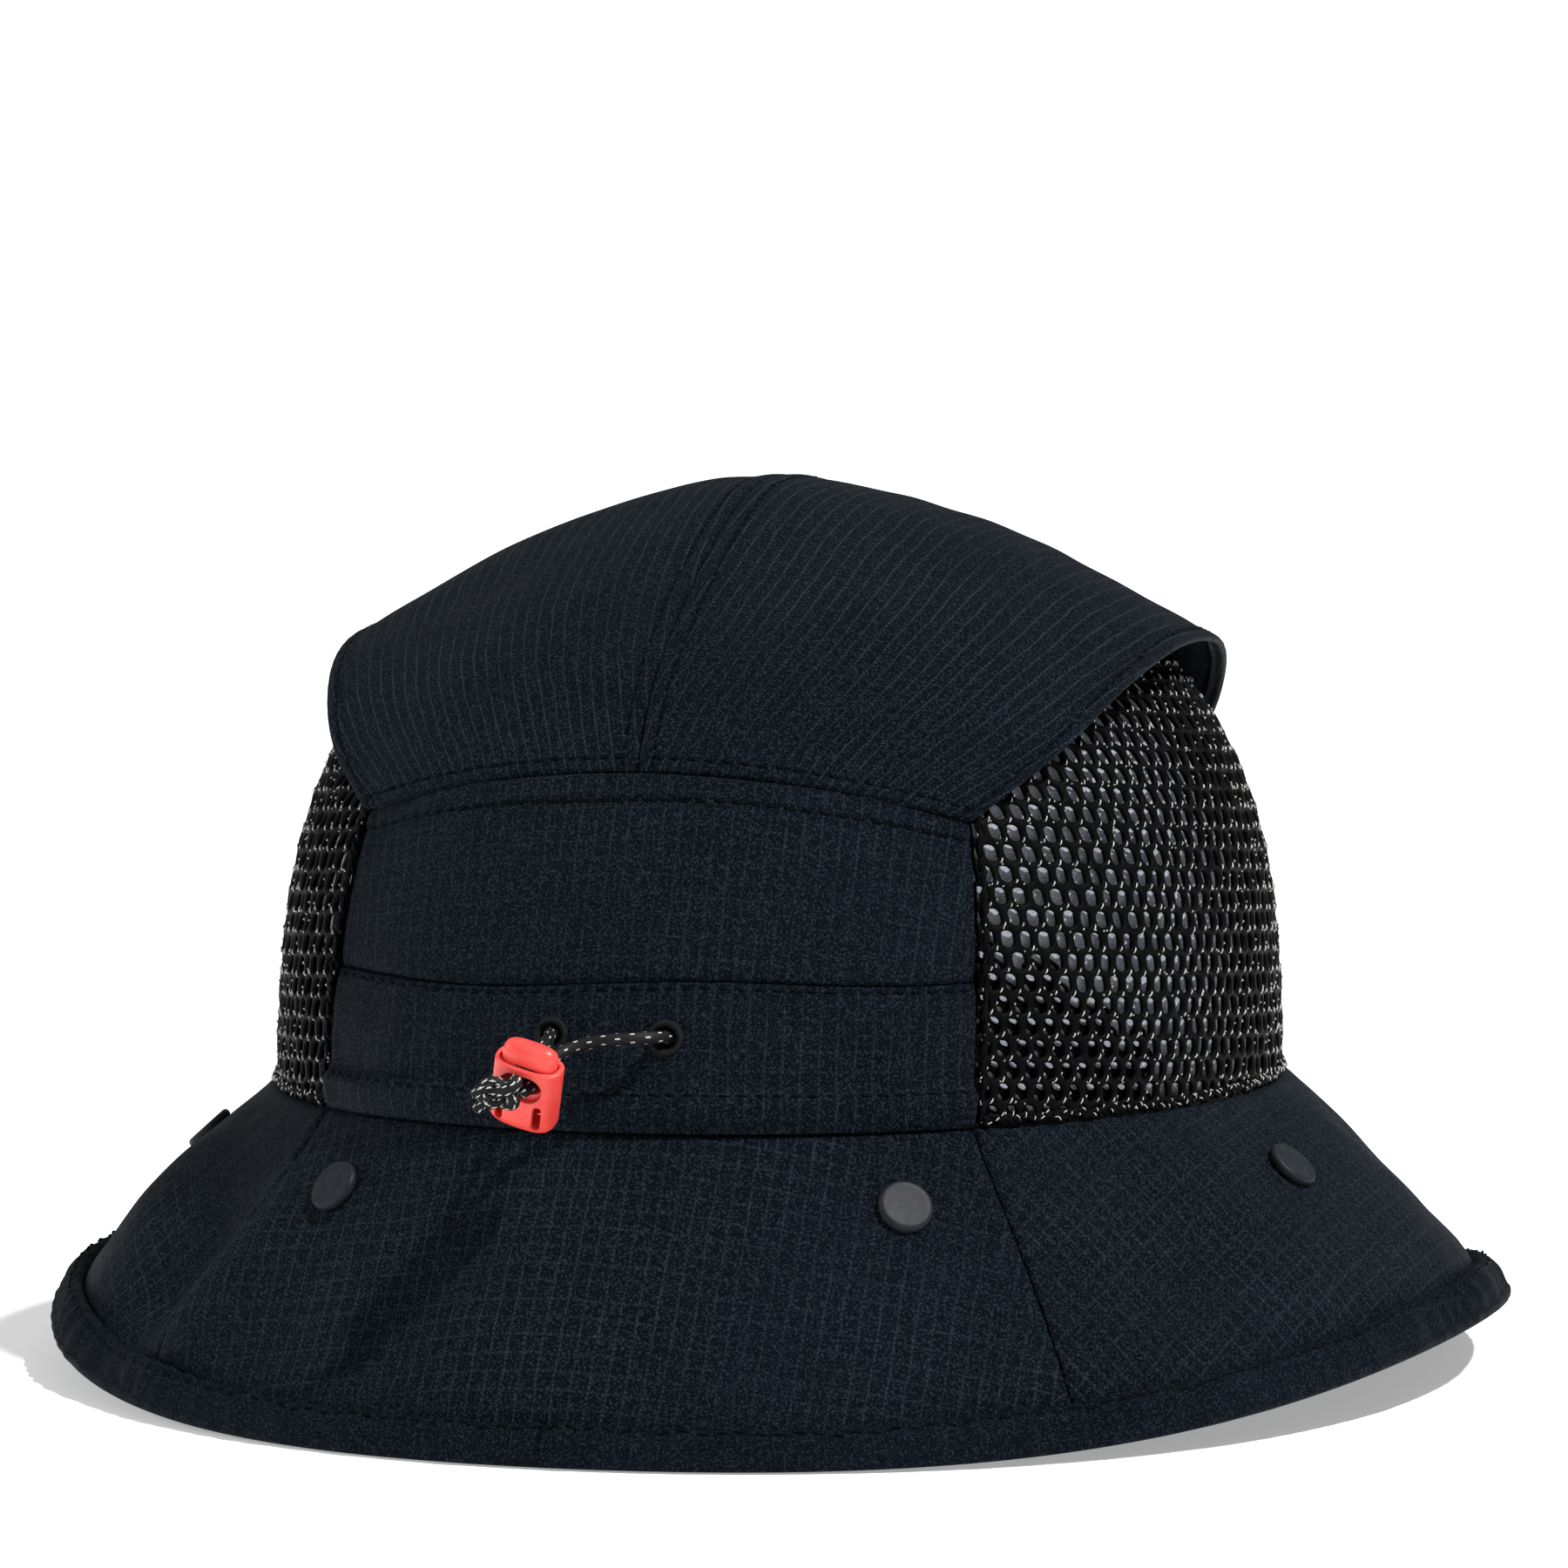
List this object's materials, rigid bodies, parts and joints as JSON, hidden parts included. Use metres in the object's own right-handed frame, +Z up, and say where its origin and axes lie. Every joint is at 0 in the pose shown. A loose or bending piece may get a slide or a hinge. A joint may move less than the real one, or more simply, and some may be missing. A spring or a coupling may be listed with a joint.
{
  "type": "bucket hat",
  "caption": "Bucket hat with a raised vented crown top, mesh sides, padded-edge flared brim with snaps, and a back drawcord with a sliding cord lock.",
  "frame": {"origin": "on the table plane under the middle of the brim", "axes": "+Z up, +Y towards the back of the hat (the drawcord), +X towards the wearer's left"},
  "size_m": [0.2504, 0.2694, 0.152],
  "materials": {
    "ripstop": "woven ripstop, matt with a faint sheen",
    "underbrim": "plain weave, matt",
    "binding": "woven, padded",
    "mesh": "open knitted mesh",
    "lining": "light knit",
    "sweatband": "brushed knit",
    "label": "woven, blank",
    "thread": "embroidered",
    "cord": "braided elastic with light flecks",
    "coral_plastic": "moulded, satin",
    "spring_steel": "drawn wire",
    "snap_metal": "gloss enamel"
  },
  "bodies": {
    "root": {"crown_top_left": "ripstop", "crown_top_right": "ripstop", "crown_seam_tape": "binding", "rear_upper_panel": "ripstop", "rear_channel_panel": "ripstop", "front_upper_panel": "ripstop", "front_lower_panel": "ripstop", "side_mesh_left": "mesh", "side_mesh_right": "mesh", "channel_gusset_left": "sweatband", "channel_gusset_right": "sweatband", "crown_lining_left": "lining", "crown_lining_right": "lining", "sweatband": "sweatband", "size_label": "label", "brim_rear": "ripstop", "brim_right": "ripstop", "brim_front": "ripstop", "brim_left": "ripstop", "underbrim_rear": "underbrim", "underbrim_front": "underbrim", "brim_binding": "binding", "eyelet_left": "thread", "eyelet_right": "thread", "drawcord_left": "cord", "drawcord_right": "cord", "cord_knot": "cord", "snap_cap_rear_right": "snap_metal", "snap_socket_rear_right": "snap_metal", "snap_cap_side_right": "snap_metal", "snap_socket_side_right": "snap_metal", "snap_cap_front_right": "snap_metal", "snap_socket_front_right": "snap_metal", "snap_cap_front_left": "snap_metal", "snap_socket_front_left": "snap_metal", "snap_cap_side_left": "snap_metal", "snap_socket_side_left": "snap_metal", "snap_cap_rear_left": "snap_metal", "snap_socket_rear_left": "snap_metal"},
    "cord_lock": {"lock_housing": "coral_plastic", "lock_spring": "spring_steel"},
    "lock_button": {"lock_button": "coral_plastic"}
  },
  "joints": [
    {"name": "lock_slide", "type": "slide", "parent": "root", "child": "cord_lock", "axis": [-0.134, -0.8963, 0.4226], "range_m": [0, 0.004]},
    {"name": "button_press", "type": "slide", "parent": "cord_lock", "child": "lock_button", "axis": [0.2529, -0.4432, -0.86], "range_m": [0, 0.0025], "stiffness_N_per_m": 100, "springref_m": -0.002, "deforming": ["lock_spring"]}
  ]
}
